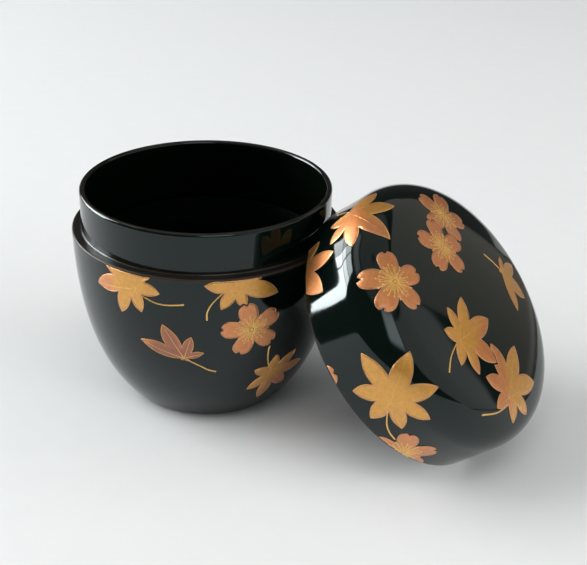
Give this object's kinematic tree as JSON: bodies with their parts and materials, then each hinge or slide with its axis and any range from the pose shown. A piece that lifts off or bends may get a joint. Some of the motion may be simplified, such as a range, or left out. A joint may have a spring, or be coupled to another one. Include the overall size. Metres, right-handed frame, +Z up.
{
  "type": "lacquer tea caddy",
  "caption": "Round lacquered tea caddy: a cup with a raised collar and a loose domed lid that leans beside it, scattered with metal-powder maple leaves and blossoms.",
  "frame": {"origin": "centre of the cup's flat foot, on the surface that the caddy stands on", "axes": "+Z up the cup's axis; the lid stands beside the cup towards +X and a little towards -Y, leaning on the collar"},
  "size_m": [0.1165, 0.0879, 0.0596],
  "materials": {
    "black_lacquer": "turned wood under polished black lacquer",
    "gold_powder": "fine gold powder, satin",
    "copper_powder": "fine copper powder, satin",
    "russet_powder": "russet powder with gold lines, satin"
  },
  "bodies": {
    "caddy_cup": {"cup": "black_lacquer", "collar": "black_lacquer", "cup_back_blossom": "copper_powder", "cup_back_maple": "gold_powder", "cup_back_side_maple": "russet_powder", "cup_crossing_maple": "gold_powder", "cup_front_blossom": "copper_powder", "cup_left_maple": "gold_powder", "cup_low_maple": "gold_powder", "cup_rear_maple": "gold_powder", "cup_right_blossom": "copper_powder", "cup_seam_blossom": "copper_powder", "cup_side_maple": "russet_powder"},
    "caddy_lid": {"lid": "black_lacquer", "lid_centre_maple": "gold_powder", "lid_crossing_maple": "gold_powder", "lid_edge_maple": "gold_powder", "lid_far_maple": "gold_powder", "lid_hidden_blossom": "copper_powder", "lid_large_maple": "gold_powder", "lid_left_maple": "gold_powder", "lid_lower_blossom": "copper_powder", "lid_near_blossom": "copper_powder", "lid_rear_maple": "gold_powder", "lid_right_blossom": "copper_powder", "lid_seam_blossom": "copper_powder", "lid_shoulder_maple": "gold_powder", "lid_upper_blossom": "copper_powder"}
  },
  "joints": [
    {"name": "lid_lift", "type": "slide", "parent": "caddy_cup", "child": "caddy_lid", "axis": [0, 0, 1], "range_m": [0, 0.06]}
  ]
}
